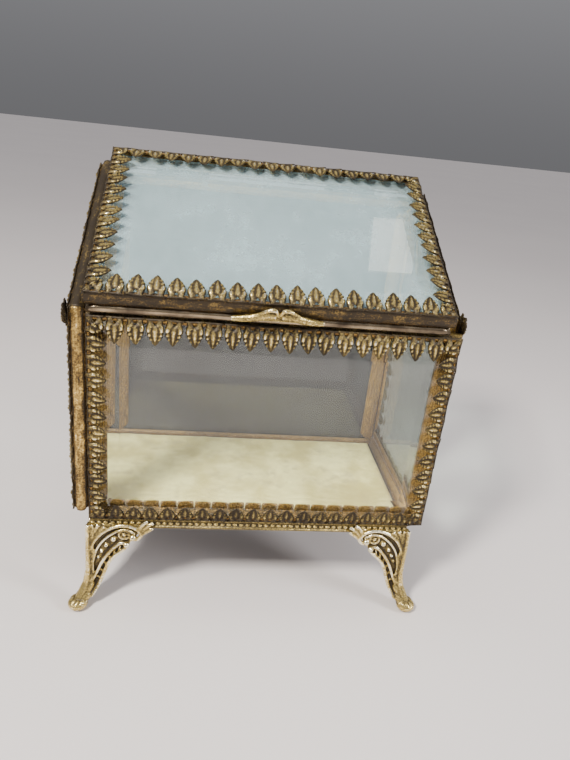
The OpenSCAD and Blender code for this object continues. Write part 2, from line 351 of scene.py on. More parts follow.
# --- mesh helpers ------------------------------------------------------------------------
def linked(name, data):
    """A new object in the scene for a mesh, a lamp or a camera."""
    made = bpy.data.objects.new(name, data)
    bpy.context.scene.collection.objects.link(made)
    return made


def to_mesh(bm, name):
    """A new mesh from a bmesh, which is freed."""
    mesh = bpy.data.meshes.new(name)
    bm.to_mesh(mesh)
    bm.free()
    return mesh


def skin(bm, rings):
    """Faces between rings of points, closed at both ends."""
    count = len(rings[0])
    for lower, upper in zip(rings, rings[1:]):
        for k in range(count):
            n = (k + 1) % count
            bm.faces.new((lower[k], lower[n], upper[n], upper[k]))
    bm.faces.new(rings[0])
    bm.faces.new(list(reversed(rings[-1])))


def to_object(name, mesh, material, smooth=True):
    """A linked object at the origin with one material."""
    mesh.materials.clear()
    mesh.materials.append(material)
    for face in mesh.polygons:
        face.use_smooth = smooth
    return linked(name, mesh)


def plain_mesh(source):
    """The evaluated object as a plain mesh; the object itself goes."""
    view = bpy.context.view_layer
    view.update()
    ready = source.evaluated_get(bpy.context.evaluated_depsgraph_get())
    mesh = bpy.data.meshes.new_from_object(ready)
    bpy.data.objects.remove(source)
    return mesh


def set_relief(mesh, values):
    """Stores a relief mark for each point."""
    layer = mesh.attributes.get("relief") or mesh.attributes.new("relief", "FLOAT", "POINT")
    layer.data.foreach_set("value", np.asarray(values, dtype=np.float32))


def relief_from_form(mesh, depth_mm, rounds=16):
    """Marks how far each point stands over its smoothed surroundings: 0 hollow, 1 proud."""
    count = len(mesh.vertices)
    points = np.empty(count * 3)
    mesh.vertices.foreach_get("co", points)
    points = points.reshape(-1, 3)
    normals = np.empty(count * 3)
    mesh.vertices.foreach_get("normal", normals)
    normals = normals.reshape(-1, 3)
    pairs = np.empty(len(mesh.edges) * 2, dtype=np.int64)
    mesh.edges.foreach_get("vertices", pairs)
    a, b = pairs.reshape(-1, 2).T
    ends = np.concatenate([a, b])
    others = np.concatenate([b, a])
    valence = np.maximum(np.bincount(ends, minlength=count), 1)
    soft = points.copy()
    for _ in range(rounds):
        mean = np.stack([np.bincount(ends, soft[others, k], count) for k in range(3)], 1)
        soft = mean / valence[:, None]
    height = ((points - soft) * normals).sum(1)
    # The gilt paints low marks dark with patina and painted shade and high ones with painted light.
    set_relief(mesh, np.clip(0.5 + height / depth_mm, 0, 1))


def join(meshes, name):
    """One mesh from several, which are removed; the relief marks are kept."""
    bm = bmesh.new()
    for mesh in meshes:
        bm.from_mesh(mesh)
    made = to_mesh(bm, name)
    for mesh in meshes:
        bpy.data.meshes.remove(mesh)
    return made


# --- where each pane stands: X along it, Y up it, Z outwards -----------------------------
def basis(x, y, z, origin):
    """The matrix that has these three axes and this origin."""
    return Matrix(((x[0], y[0], z[0], origin[0]), (x[1], y[1], z[1], origin[1]),
                   (x[2], y[2], z[2], origin[2]), (0, 0, 0, 1)))


UP = (0, math.cos(SLOPE), math.sin(SLOPE))
OUT = (0, -math.sin(SLOPE), math.cos(SLOPE))
FACES = {
    "front": basis((1, 0, 0), (0, 0, 1), (0, -1, 0), (-HALF_W, -HALF_D + FRAME_T, PANE_Z)),
    "back": basis((-1, 0, 0), (0, 0, 1), (0, 1, 0), (HALF_W, HALF_D - FRAME_T, PANE_Z)),
    "right": basis((0, 1, 0), (0, 0, 1), (1, 0, 0), (HALF_W, -HALF_D + FRAME_T, SIDE_Z)),
    "left": basis((0, 1, 0), (0, 0, 1), (-1, 0, 0), (-HALF_W, -HALF_D, SIDE_Z)),
    "seat": basis((1, 0, 0), UP, OUT, (-HALF_W, -HALF_D, SEAT_Z)),
}
FACES["lid"] = FACES["seat"] @ Matrix.Translation((0, 0, LID_LIFT))


def outline(width, left_h, right_h):
    """Corners of a pane with a level foot, from the lower left one round."""
    return [Vector((0, 0)), Vector((width, 0)), Vector((width, right_h)), Vector((0, left_h))]


FRONT_H = SEAT_Z - PANE_Z
SIDE_H = SIDE_FRONT_Z - SIDE_Z
PANES = {
    "front": (outline(FRONT_END + HALF_W, FRONT_H, FRONT_H), FRAME_T,
              ("bottom", "right", "top", "left")),
    "back": (outline(2 * HALF_W, BACK_Z - PANE_Z, BACK_Z - PANE_Z), FRAME_T,
             ("bottom", "left", "top", "right")),
    "right": (outline(2 * HALF_D - FRAME_T, SIDE_H + FRAME_T * RISE,
                      SIDE_H + 2 * HALF_D * RISE), FRAME_T, ("bottom", "back", "top", "front")),
    "left": (outline(2 * HALF_D, SIDE_H, SIDE_H + 2 * HALF_D * RISE), FRAME_T,
             ("bottom", "back", "top", "front")),
    "lid": (outline(2 * HALF_W, LID_LEN, LID_LEN), LID_T, ("front", "right", "back", "left")),
}


# --- gallery channel and its leaves --------------------------------------------------------
# Rows of one leaf from root to tip: place along it in leaf lengths, half width and half gap
# between its two inner veins in pitches, then the rise in millimetres at its edge, its outer
# vein, its inner vein and its middle.
LEAF_ROWS = [
    (0.00, 0.500, 0.15, 0.22, 0.28, 0.22, 0.20),
    (0.05, 0.500, 0.17, 0.26, 0.34, 0.26, 0.22),
    (0.07, 0.400, 0.15, 0.16, 0.44, 0.30, 0.22),
    (0.16, 0.400, 0.09, 0.12, 0.52, 0.40, 0.28),
    (0.25, 0.430, 0.04, 0.10, 0.56, 0.28, 0.36),
    (0.34, 0.460, 0.16, 0.22, 0.90, 0.20, 0.62),
    (0.46, 0.465, 0.18, 0.24, 0.94, 0.20, 0.82),
    (0.52, 0.400, 0.16, 0.02, 0.36, 0.12, 0.80),
    (0.61, 0.415, 0.16, 0.22, 0.88, 0.18, 0.86),
    (0.67, 0.325, 0.13, 0.02, 0.34, 0.12, 0.80),
    (0.76, 0.305, 0.12, 0.20, 0.76, 0.20, 0.74),
    (0.82, 0.210, 0.08, 0.04, 0.34, 0.16, 0.60),
    (0.90, 0.160, 0.06, 0.16, 0.50, 0.28, 0.52),
    (1.00, 0.015, 0.005, 0.18, 0.22, 0.24, 0.28),
]
PIERCED_ROWS = (2, 3)       # steps between rows that the small opening at a leaf's root takes
PIERCED_COLUMNS = (2, 3)    # and its place across them, on both sides of the middle
LEAF_RISE = 0.92            # the rise whose relief mark is 1
VEIN = 0.74                 # place of the outer vein across the half width

# Rows of one plain tab of the inner flange: place along it and half width
TAB_ROWS = [(0.0, 0.487), (0.70, 0.487), (0.90, 0.46), (1.0, 0.40)]


def form_mesh(name, rows, skip=()):
    """Sheet from rows of (x, y, rise, relief mark) points. The faces whose (row, column) is in
    skip are left open."""
    bm = bmesh.new()
    relief = bm.verts.layers.float.new("relief")
    made = []
    for row in rows:
        verts = []
        for x, y, rise, mark in row:
            vert = bm.verts.new((x, y, rise))
            vert[relief] = mark
            verts.append(vert)
        made.append(verts)
    for j in range(len(made) - 1):
        for k in range(len(made[j]) - 1):
            if (j, k) not in skip:
                bm.faces.new((made[j][k], made[j][k + 1], made[j + 1][k + 1], made[j + 1][k]))
    return to_mesh(bm, name)


def leaf_form():
    """One stamped leaf, a pitch wide and a leaf length long, on a unit square."""
    rows = []
    for along, half, inner, edge, vein, valley, middle in LEAF_ROWS:
        across = [(-half, edge), (-half * VEIN, vein), (-inner, valley), (0, middle),
                  (inner, valley), (half * VEIN, vein), (half, edge)]
        # The relief mark follows the rise: the gilt paints the low roots and hollows with patina and
        # painted shade, and the raised veins with painted light.
        rows.append([(x, along, rise, min(1.0, (rise / LEAF_RISE) ** 1.4))
                     for x, rise in across])
    skip = {(row, column) for row in PIERCED_ROWS for column in PIERCED_COLUMNS}
    return form_mesh("leaf", rows, skip)


def tab_form():
    """One tab of the inner flange, a little dished."""
    rows = [[(x * half, along, 0.40 - 0.08 * (1 - x * x), 0.5) for x in (-1, -0.4, 0.4, 1)]
            for along, half in TAB_ROWS]
    return form_mesh("tab", rows)


def row_tree():
    """Geometry nodes that set a form along X, one to a pitch, with a small seeded wobble."""
    tree = bpy.data.node_groups.new("set_in_row", "GeometryNodeTree")
    face = tree.interface
    face.new_socket("Geometry", in_out="INPUT", socket_type="NodeSocketGeometry")
    for name, kind in (("Form", "NodeSocketObject"), ("Count", "NodeSocketInt"),
                       ("Pitch", "NodeSocketFloat"), ("Length", "NodeSocketFloat"),
                       ("Lean", "NodeSocketFloat"), ("Wobble", "NodeSocketFloat"),
                       ("Seed", "NodeSocketInt"), ("Finish", "NodeSocketMaterial")):
        face.new_socket(name, in_out="INPUT", socket_type=kind)
    face.new_socket("Geometry", in_out="OUTPUT", socket_type="NodeSocketGeometry")

    def add(kind, settings=None, **sockets):
        """Any node of this tree."""
        return add_node(tree, kind, settings, **sockets)

    given = tree.nodes.new("NodeGroupInput").outputs
    step = add("ShaderNodeCombineXYZ", X=given["Pitch"])
    half = add("ShaderNodeVectorMath", {"operation": "SCALE"}, Vector=step.outputs[0],
               Scale=0.5)
    line = add("GeometryNodeMeshLine", {"mode": "OFFSET"}, Count=given["Count"],
               Start_Location=half.outputs[0], Offset=step.outputs[0])
    form = add("GeometryNodeObjectInfo", Object=given["Form"])
    sway = add("FunctionNodeRandomValue", {"data_type": "FLOAT_VECTOR"}, Seed=given["Seed"])
    sway.inputs[0].default_value = (-1, -1, -1)
    sway.inputs[1].default_value = (1, 1, 1)
    small = add("ShaderNodeVectorMath", {"operation": "SCALE"}, Vector=sway.outputs[0],
                Scale=given["Wobble"])
    tilt = add("ShaderNodeCombineXYZ", X=given["Lean"])
    turn = add("ShaderNodeVectorMath", {"operation": "ADD"})
    tree.links.new(small.outputs[0], turn.inputs[0])
    tree.links.new(tilt.outputs[0], turn.inputs[1])
    size = add("ShaderNodeCombineXYZ", X=given["Pitch"], Y=given["Length"], Z=1.0)
    placed = add("GeometryNodeInstanceOnPoints", Points=line.outputs[0],
                 Instance=form.outputs["Geometry"], Rotation=turn.outputs[0],
                 Scale=size.outputs[0])
    real = add("GeometryNodeRealizeInstances", Geometry=placed.outputs[0])
    coated = add("GeometryNodeSetMaterial", Geometry=real.outputs[0],
                 Material=given["Finish"])
    end = tree.nodes.new("NodeGroupOutput")
    tree.links.new(coated.outputs[0], end.inputs[0])
    return tree


row_of = row_tree()


def set_row(form, **inputs):
    """The form repeated along X as a plain mesh."""
    host = linked("row", bpy.data.meshes.new("row"))
    modifier = host.modifiers.new("row", "NODES")
    modifier.node_group = row_of
    sockets = {item.name: item.identifier for item in row_of.interface.items_tree
               if item.in_out == "INPUT"}
    for name, value in dict(inputs, Form=form, Finish=gilt).items():
        modifier[sockets[name]] = value
    return plain_mesh(host)


def holder(mesh):
    """An object for a form that the rows copy, kept out of the render."""
    made = linked(mesh.name + "_form", mesh)
    made.hide_render = True
    return made


def corner(points, i):
    """The angle inside an outline at point i."""
    a = points[i - 1] - points[i]
    b = points[(i + 1) % len(points)] - points[i]
    return a.angle(b)


WEB = range(4, 10)          # the points of a channel's section that make its outer web


def channel_section(t, flange, bulge):
    """Outside and inside of the channel as (inwards, outwards) points, from flange to lip."""
    wall = CHANNEL_WALL
    outside = [(flange, 0.0), (flange * 0.55, 0.0), (0.9, 0.02), (0.55, 0.10), (0.45, 0.45),
               (-bulge * 0.55, t * 0.24), (-bulge, t * 0.42), (-bulge, t * 0.58),
               (-bulge * 0.55, t * 0.76), (0.45, t - 0.45), (0.50, t - 0.04), (0.72, t + 0.12),
               (1.0, t + 0.10), (1.4, t + 0.0)]
    inside = [(1.4, t - wall), (wall + 0.1, t - wall), (wall, t * 0.5), (wall + 0.1, wall),
              (flange, wall)]
    return outside, inside


def channel(length, t, a0, a1, make):
    """Folded channel along X, mitred at both ends, with a rippled web."""
    outside, inside = channel_section(t, make["flange"], make["bulge"])
    section = outside + inside
    stations = max(8, round(length / CHANNEL_STEP))
    bm = bmesh.new()
    relief = bm.verts.layers.float.new("relief")
    amber = bm.verts.layers.float.new("amber")
    along = bm.verts.layers.float.new("along")
    around = bm.verts.layers.float.new("around")
    rings = []
    for s in range(stations + 1):
        ring = []
        for k, (inward, out) in enumerate(section):
            start = inward / math.tan(a0 / 2)
            end = length - inward / math.tan(a1 / 2)
            x = start + (end - start) * s / stations
            shift = 0.0
            if k in WEB and 0 < s < stations:
                place = Vector((x * 0.32, out * 1.1, make["seed"] * 3.7))
                shift = noise.noise(place) + 0.6 * noise.noise(place * 2.3)
            vert = bm.verts.new((x, inward + make["ripple"] * shift, out))
            # The web's relief mark is painted shade along its two folded edges and painted light and
            # shade along its ripples, over the strip's own tone; the rest of the section takes that
            # tone, capped.
            edge_on = k in (WEB[0], WEB[-1])
            tone_and_painted_light = 0.12 if edge_on else make["tone_and_painted_light"] + 0.30 * shift
            vert[relief] = max(0.0, tone_and_painted_light) if k in WEB else min(0.44, make["tone_and_painted_light"] + 0.08)
            vert[amber] = make["amber"] if k in WEB else 1.0
            vert[along] = x
            vert[around] = inward + out + make["seed"] * 5.0
            ring.append(vert)
        rings.append(ring)
    skin(bm, rings)
    bmesh.ops.recalc_face_normals(bm, faces=bm.faces)
    return to_mesh(bm, "channel")


def trim_to_mitres(mesh, length, a0, a1):
    """Cuts away what passes the mitre planes at both ends."""
    bm = bmesh.new()
    bm.from_mesh(mesh)
    for x, angle, side in ((0.0, a0, -1), (length, a1, 1)):
        normal = Vector((side * math.sin(angle / 2), math.cos(angle / 2), 0))
        bmesh.ops.bisect_plane(bm, geom=bm.verts[:] + bm.edges[:] + bm.faces[:],
                               plane_co=(x, 0, 0), plane_no=normal, clear_outer=True)
    bm.to_mesh(mesh)
    bm.free()


def thicken(mesh, wall):
    """Gives a stamped sheet its thickness, inwards from its face."""
    host = linked("sheet", mesh)
    solid = host.modifiers.new("wall", "SOLIDIFY")
    solid.thickness = wall
    solid.offset = -1
    made = plain_mesh(host)
    bpy.data.meshes.remove(mesh)
    return made


# For each kind of edge: the leaf's length, its lean in degrees and the share of its relief
# marks that is kept, lower on the bottom, low and sloping edges to paint shade on their leaves;
# the reach of the flange and the tabs; the web's bulge and ripple; and the web's tone, partly
# its own and partly painted light and shade, and its amber lacquer, from 0 to 1. Low edges lie
# hidden behind the pad.
MAKES = {
    "top": dict(leaf=LEAF_TOP, lean=4, painted_light_share=1.0, flange=FLANGE_BODY, tab=0.0,
                bulge=0.40, ripple=0.08, tone_and_painted_light=0.42, amber=0.3),
    "bottom": dict(leaf=LEAF_BOTTOM, lean=3, painted_light_share=0.62, flange=FLANGE_BODY, tab=TAB,
                   bulge=0.30, ripple=0.08, tone_and_painted_light=0.22, amber=0.3),
    "low": dict(leaf=LEAF_LOW, lean=3, painted_light_share=0.7, flange=FLANGE_BODY, tab=0.0,
                bulge=0.30, ripple=0.06, tone_and_painted_light=0.36, amber=0.4),
    "upright": dict(leaf=LEAF_SIDE, lean=7, painted_light_share=0.95, flange=FLANGE_BODY + TAB,
                    tab=0.0, bulge=0.30, ripple=0.05, tone_and_painted_light=0.50, amber=0.6),
    "slope": dict(leaf=LEAF_SIDE, lean=6, painted_light_share=0.7, flange=FLANGE_BODY, tab=0.0,
                  bulge=0.30, ripple=0.08, tone_and_painted_light=0.16, amber=0.2),
    "lid": dict(leaf=LEAF_LID, lean=11, painted_light_share=1.0, flange=FLANGE_LID, tab=0.0,
                bulge=0.12, ripple=0.34, tone_and_painted_light=0.24, amber=0.4),
}

# Turn in degrees and length of each loose leaf at the two front corners
CORNER_LEAVES = [(-14, 5.0), (24, 4.8), (52, 4.2)]
CORNER_PLACE = (3.4, 1.2, FRAME_T + 0.35)   # where their roots meet
CORNER_LEAN = 8
CORNER_SHARE = 0.9                          # their width and rise beside a leaf in a row


def edge_kind(pane, edge):
    """The kind of channel along one edge of a pane."""
    if pane == "lid":
        return "lid"
    if edge == "top":
        return "top" if pane in ("front", "back") else "slope"
    if edge == "bottom":
        return "bottom" if pane == "front" else "low"
    return "upright"


def stamped_row(form, length, a0, a1, lift, reach, lean, seed, start=0.15):
    """A row of forms along an edge, mitred and given its sheet's thickness."""
    count = round(length / LEAF_PITCH)
    row = set_row(form, Count=count, Pitch=length / count, Length=reach,
                  Lean=math.radians(lean), Wobble=LEAF_WOBBLE, Seed=seed)
    row.transform(Matrix.Translation((0, start, lift)))
    trim_to_mitres(row, length, a0, a1)
    return thicken(row, STAMPING_WALL)


def corner_cluster(leaf):
    """Loose leaves soldered over a front corner, which stand past the frame's top."""
    made = []
    for spin, length in CORNER_LEAVES:
        mesh = leaf.data.copy()
        mesh.transform(Matrix.Translation(CORNER_PLACE)
                       @ Matrix.Rotation(math.radians(90 + spin), 4, "Z")
                       @ Matrix.Rotation(math.radians(CORNER_LEAN), 4, "X")
                       @ Matrix.Diagonal((LEAF_PITCH * CORNER_SHARE, length, CORNER_SHARE, 1)))
        made.append(thicken(mesh, STAMPING_WALL))
    return made


def gallery(pane, index, leaf, tab, seed):
    """The channel, leaves and inner tabs along one edge of a pane, as one piece."""
    points, t, edges = PANES[pane]
    start = points[index]
    run = points[(index + 1) % 4] - start
    a0 = corner(points, index)
    a1 = corner(points, (index + 1) % 4)
    make = dict(MAKES[edge_kind(pane, edges[index])], seed=seed)
    leaves = stamped_row(leaf, run.length, a0, a1, t, make["leaf"], make["lean"], seed)
    # Lower and sloping edges keep less of their leaves' relief marks, which paints shade on them.
    for mark in leaves.attributes["relief"].data:
        mark.value *= make["painted_light_share"]
    parts = [channel(run.length, t, a0, a1, make), leaves]
    if make["tab"]:
        tabs = stamped_row(tab, run.length, a0, a1, 0.0, make["tab"], 0, seed,
                           start=make["flange"] - 0.1)
        count = len(tabs.vertices)
        tabs.attributes.new("amber", "FLOAT", "POINT").data.foreach_set("value", [1.0] * count)
        parts.append(tabs)
    if pane in ("left", "right") and edges[index] == "front":
        parts += corner_cluster(leaf)
    mesh = join(parts, "gallery")
    turn = Matrix.Rotation(math.atan2(run.y, run.x), 4, "Z")
    place = FACES[pane] @ Matrix.Translation((start.x, start.y, 0)) @ turn
    mesh.transform(Matrix.Scale(MM, 4) @ place)
    if place.determinant() < 0:
        mesh.flip_normals()
    node = f"gallery_{pane}_{edges[index]}"
    piece = to_object("leaf_" + node, mesh, gilt)
    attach(piece, "lid" if pane == "lid" else "base")
    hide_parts(node)


def make_gallery():
    """The gallery along every edge of every pane, each with its own seed."""
    leaf = holder(leaf_form())
    tab = holder(tab_form())
    seed = SEED
    for pane in PANES:
        for index in range(4):
            gallery(pane, index, leaf, tab, seed)
            seed += 1
    bpy.data.objects.remove(leaf)
    bpy.data.objects.remove(tab)


# --- cast pieces: tubes and lumps fused by a fine remesh -----------------------------------
class Casting:
    """Collects closed forms in millimetres, then fuses them like one casting."""

    def __init__(self):
        self.bm = bmesh.new()

    def tube(self, points, radii, sides=10, flat=1.0, face=None):
        """Round bar along points; flat squeezes it along the face direction."""
        points = [Vector(p) for p in points]
        face = Vector(face or (0, 1, 0)).normalized()
        rings = []
        for i, p in enumerate(points):
            ahead = points[min(i + 1, len(points) - 1)] - points[max(i - 1, 0)]
            ahead.normalize()
            side = ahead.cross(face)
            if side.length < 1e-4:
                side = ahead.orthogonal()
            side.normalize()
            up = side.cross(ahead).normalized()
            r = radii[i] if hasattr(radii, "__len__") else radii
            ring = []
            for k in range(sides):
                a = 2 * math.pi * k / sides
                ring.append(self.bm.verts.new(p + side * (r * math.cos(a))
                                              + up * (r * flat * math.sin(a))))
            rings.append(ring)
        skin(self.bm, rings)

    def lump(self, centre, radii, detail=2):
        """An ellipsoid."""
        place = Matrix.Translation(centre) @ Matrix.Diagonal((*radii, 1))
        bmesh.ops.create_icosphere(self.bm, subdivisions=detail, radius=1.0, matrix=place)

    def plate(self, outline_2d, low, high, place):
        """An outline in (u, v) made a plate between two heights of the third axis."""
        rings = [[self.bm.verts.new(place @ Vector((u, v, w))) for u, v in outline_2d]
                 for w in (low, high)]
        self.bm.faces.new(list(reversed(rings[0])))
        self.bm.faces.new(rings[1])
        count = len(outline_2d)
        for k in range(count):
            n = (k + 1) % count
            self.bm.faces.new((rings[0][k], rings[0][n], rings[1][n], rings[1][k]))

    def splay(self, top, toe, reach):
        """Sweeps what is below top outwards on the diagonal, most at toe height."""
        for vert in self.bm.verts:
            drop = min(1.0, max(0.0, (top - vert.co.z) / (top - toe)))
            vert.co.x -= reach * drop * drop
            vert.co.y -= reach * drop * drop

    def fuse(self, voxel):
        """One closed skin round all the forms, lightly smoothed."""
        bmesh.ops.recalc_face_normals(self.bm, faces=self.bm.faces)
        mesh = to_mesh(self.bm, "casting")
        host = linked("casting", mesh)
        remesh = host.modifiers.new("fuse", "REMESH")
        remesh.mode = "VOXEL"
        remesh.voxel_size = voxel
        soft = host.modifiers.new("soft", "SMOOTH")
        soft.factor = 0.5
        soft.iterations = 1
        fused = plain_mesh(host)
        bpy.data.meshes.remove(mesh)
        return fused


def spline(points, count):
    """Catmull-Rom curve through points, as count + 1 points."""
    pts = [Vector(p) for p in points]
    pts = [2 * pts[0] - pts[1]] + pts + [2 * pts[-1] - pts[-2]]
    spans = len(pts) - 3
    made = []
    for i in range(count + 1):
        place = min(i / count * spans, spans - 1e-6)
        k = int(place)
        t = place - k
        a, b, c, d = pts[k:k + 4]
        made.append(0.5 * (2 * b + (c - a) * t + (2 * a - 5 * b + 4 * c - d) * t * t
                           + (3 * b - a - 3 * c + d) * t * t * t))
    return made


def taper(start, end, count, swell=0.0):
    """Radii from start to end, thicker by swell in the middle."""
    return [start + (end - start) * i / count + swell * math.sin(math.pi * i / count)
            for i in range(count + 1)]


# Scroll foot, in the plane of one wing: U along the box from the corner, V up from the floor.
FOOT_RIM = [(1.0, 19.0), (2.3, 22.4), (4.6, 25.4), (7.8, 27.5), (11.0, 28.1), (14.2, 27.1),
            (15.7, 25.2), (15.0, 23.6), (13.6, 23.4)]
FOOT_INNER_RIM = [(1.7, 13.5), (2.9, 19.2), (5.4, 23.2), (8.8, 25.9), (11.6, 26.5), (13.4, 25.4)]
FOOT_ARCH_TOP = [(11.2, 21.7), (9.6, 21.7), (7.0, 19.0), (4.6, 15.2), (2.9, 11.0), (1.8, 7.4)]
FOOT_ARCH_LOW = [(12.0, 20.8), (10.6, 19.4), (7.9, 16.9), (6.1, 14.0), (4.9, 10.4), (4.2, 6.7),
                 (3.6, 3.6)]
FOOT_BRIDGES = 6            # cross bars between the two lines of the arch
FOOT_SPRAY = [[(15.2, 26.5), (16.1, 28.3), (17.6, 29.7)], [(15.6, 26.0), (17.3, 27.8), (19.3, 29.0)],
              [(15.8, 25.4), (17.5, 26.3), (19.2, 27.2)]]
FOOT_FAN = [[(1.2, 22.4), (1.3, 26.0), (1.5, 28.1)], [(1.5, 22.8), (2.6, 26.0), (3.6, 28.1)],
            [(2.0, 23.2), (3.6, 25.6), (5.4, 27.6)]]
FOOT_BEADS = [(7.7, 23.0, 0.95), (5.6, 20.7, 0.72), (4.3, 18.4, 0.55), (3.3, 16.2, 0.42)]
KNOBS = [(13.4, 23.8, 1.10), (11.5, 21.2, 0.98)]
ROSETTE = (10.8, 24.6)
TOE_OUT = 2.8
FOOT_PROUD = 0.8
LEG_TOP = 12.0
FOOT_PLATE = [(0.2, 20.6), (12.0, 20.6), (13.6, 23.2), (15.4, 25.4), (14.2, 28.2), (0.2, 28.2)]
PLATE_EDGE = 0.2            # where the plate starts along U
PLATE_LAP = 0.2             # how far each of its lower steps laps over the one above
PLATE_BACK = -2.1           # the plate's two faces, behind the scrolls
PLATE_FACE = -1.15
FOOT_VOXEL = 0.22           # fineness of the remesh that fuses each casting
LIFT_VOXEL = 0.15


def wing(casting, place):
    """One scroll wing of a foot; place turns (U, V, outwards) into the foot's own axes."""
    def at(u, v, w):
        """A point of the wing in the foot's axes."""
        return place @ Vector((u, v, w))

    face = at(0, 0, 1) - at(0, 0, 0)

    def bar(path, r0, r1, height, count, flat=1.0):
        """A tapered bar along a curve through the path's points."""
        line = [at(p.x, p.y, height) for p in spline(path, count)]
        casting.tube(line, taper(r0, r1, count, 0.06), flat=flat, face=face)

    lower = [tuple(p) for p in spline(FOOT_ARCH_LOW, 16)]
    casting.plate(FOOT_PLATE, PLATE_BACK, PLATE_FACE, place)
    for (u0, v0), (u1, v1) in zip(lower, lower[1:]):
        step = [(PLATE_EDGE, v0 + PLATE_LAP), (u0, v0 + PLATE_LAP), (u1, v1), (PLATE_EDGE, v1)]
        casting.plate(step, PLATE_BACK, PLATE_FACE, place)
    bar(FOOT_RIM, 0.46, 0.62, -0.45, 40)
    bar(FOOT_INNER_RIM, 0.30, 0.42, -0.62, 30)
    bar(FOOT_ARCH_TOP, 0.50, 0.44, -0.50, 26)
    bar(FOOT_ARCH_LOW, 0.48, 0.56, -0.55, 26)
    for u, v, r in KNOBS:
        casting.lump(at(u, v, -0.55), (r, r, r))
    upper = spline(FOOT_ARCH_TOP, FOOT_BRIDGES + 1)
    under = spline(FOOT_ARCH_LOW[1:-1], FOOT_BRIDGES + 1)
    for i in range(1, FOOT_BRIDGES + 1):
        casting.tube([at(*upper[i], -0.7), at(*under[i], -0.7)], 0.24, sides=8, face=face)
    for path in FOOT_SPRAY:
        bar(path, 0.85, 0.46, -0.60, 8, flat=0.8)
    for path in FOOT_FAN:
        bar(path, 0.28, 0.62, -0.65, 8, flat=0.8)
    for u, v, r in FOOT_BEADS:
        casting.lump(at(u, v, -0.95), (r, r, r))
    casting.lump(at(*ROSETTE, -0.85), (0.55, 0.55, 0.55))
    ring = [at(ROSETTE[0] + 1.5 * math.cos(a), ROSETTE[1] + 1.5 * math.sin(a), -0.75)
            for a in (2 * math.pi * k / 16 for k in range(17))]
    casting.tube(ring, 0.34, sides=8, face=face)
    for k in range(5):
        a = 2 * math.pi * k / 5
        casting.lump(at(ROSETTE[0] + 0.72 * math.cos(a), ROSETTE[1] + 0.72 * math.sin(a), -0.9),
                     (0.3, 0.3, 0.3))
    swirl = [at(13.0 - 0.9 * math.cos(a), 25.0 + 0.8 * math.sin(a), -0.75)
             for a in (math.pi * k / 8 for k in range(9))]
    casting.tube(swirl, 0.28, sides=8, face=face)


def scroll_foot():
    """The front left foot, with its outer corner at the origin, in millimetres."""
    casting = Casting()
    along_x = basis((1, 0, 0), (0, 0, 1), (0, -1, 0), (0, 0, 0))
    along_y = basis((0, 1, 0), (0, 0, 1), (-1, 0, 0), (0, 0, 0))
    for place in (along_x, along_y):
        wing(casting, place)
    ridge = [Vector((0.40, 0.40, z)) for z in (28.2, 22.0, 16.0, LEG_TOP, 8.0, 4.0, 2.0)]
    casting.tube(ridge, [0.60, 0.66, 0.74, 0.85, 1.10, 1.50, 1.60], face=(1, 1, 0))
    for height, r in ((9.0, 0.9), (6.0, 1.35), (3.6, 1.8)):
        casting.lump((1.3, 1.3, height), (r + 0.6, r + 0.6, 2.6), 3)
    casting.lump((0.5, 0.5, 1.9), (2.95, 2.95, 1.95), 3)
    for k in range(7):
        a = math.radians(225 + (k - 3) * 36)
        casting.lump((0.5 + 2.0 * math.cos(a), 0.5 + 2.0 * math.sin(a), 2.5), (0.85, 0.85, 1.1))
    casting.splay(LEG_TOP, 2.4, TOE_OUT)
    mesh = casting.fuse(FOOT_VOXEL)
    for vert in mesh.vertices:
        vert.co.z = max(vert.co.z, 0.0)
    relief_from_form(mesh, 0.55)
    return mesh


def make_feet():
    """Four feet, mirrored from the front left one."""
    master = scroll_foot()
    for x_name, x_side in (("left", 1), ("right", -1)):
        for y_name, y_side in (("front", 1), ("back", -1)):
            mesh = master.copy()
            place = (Matrix.Diagonal((x_side, y_side, 1, 1))
                     @ Matrix.Translation((-HALF_W - FOOT_PROUD, -HALF_D - FOOT_PROUD, 0)))
            mesh.transform(Matrix.Scale(MM, 4) @ place)
            if x_side * y_side < 0:
                mesh.flip_normals()
            node = f"foot_{y_name}_{x_name}"
            piece = to_object("scroll_" + node, mesh, gilt)
            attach(piece, "base")
            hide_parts(node)
    bpy.data.meshes.remove(master)


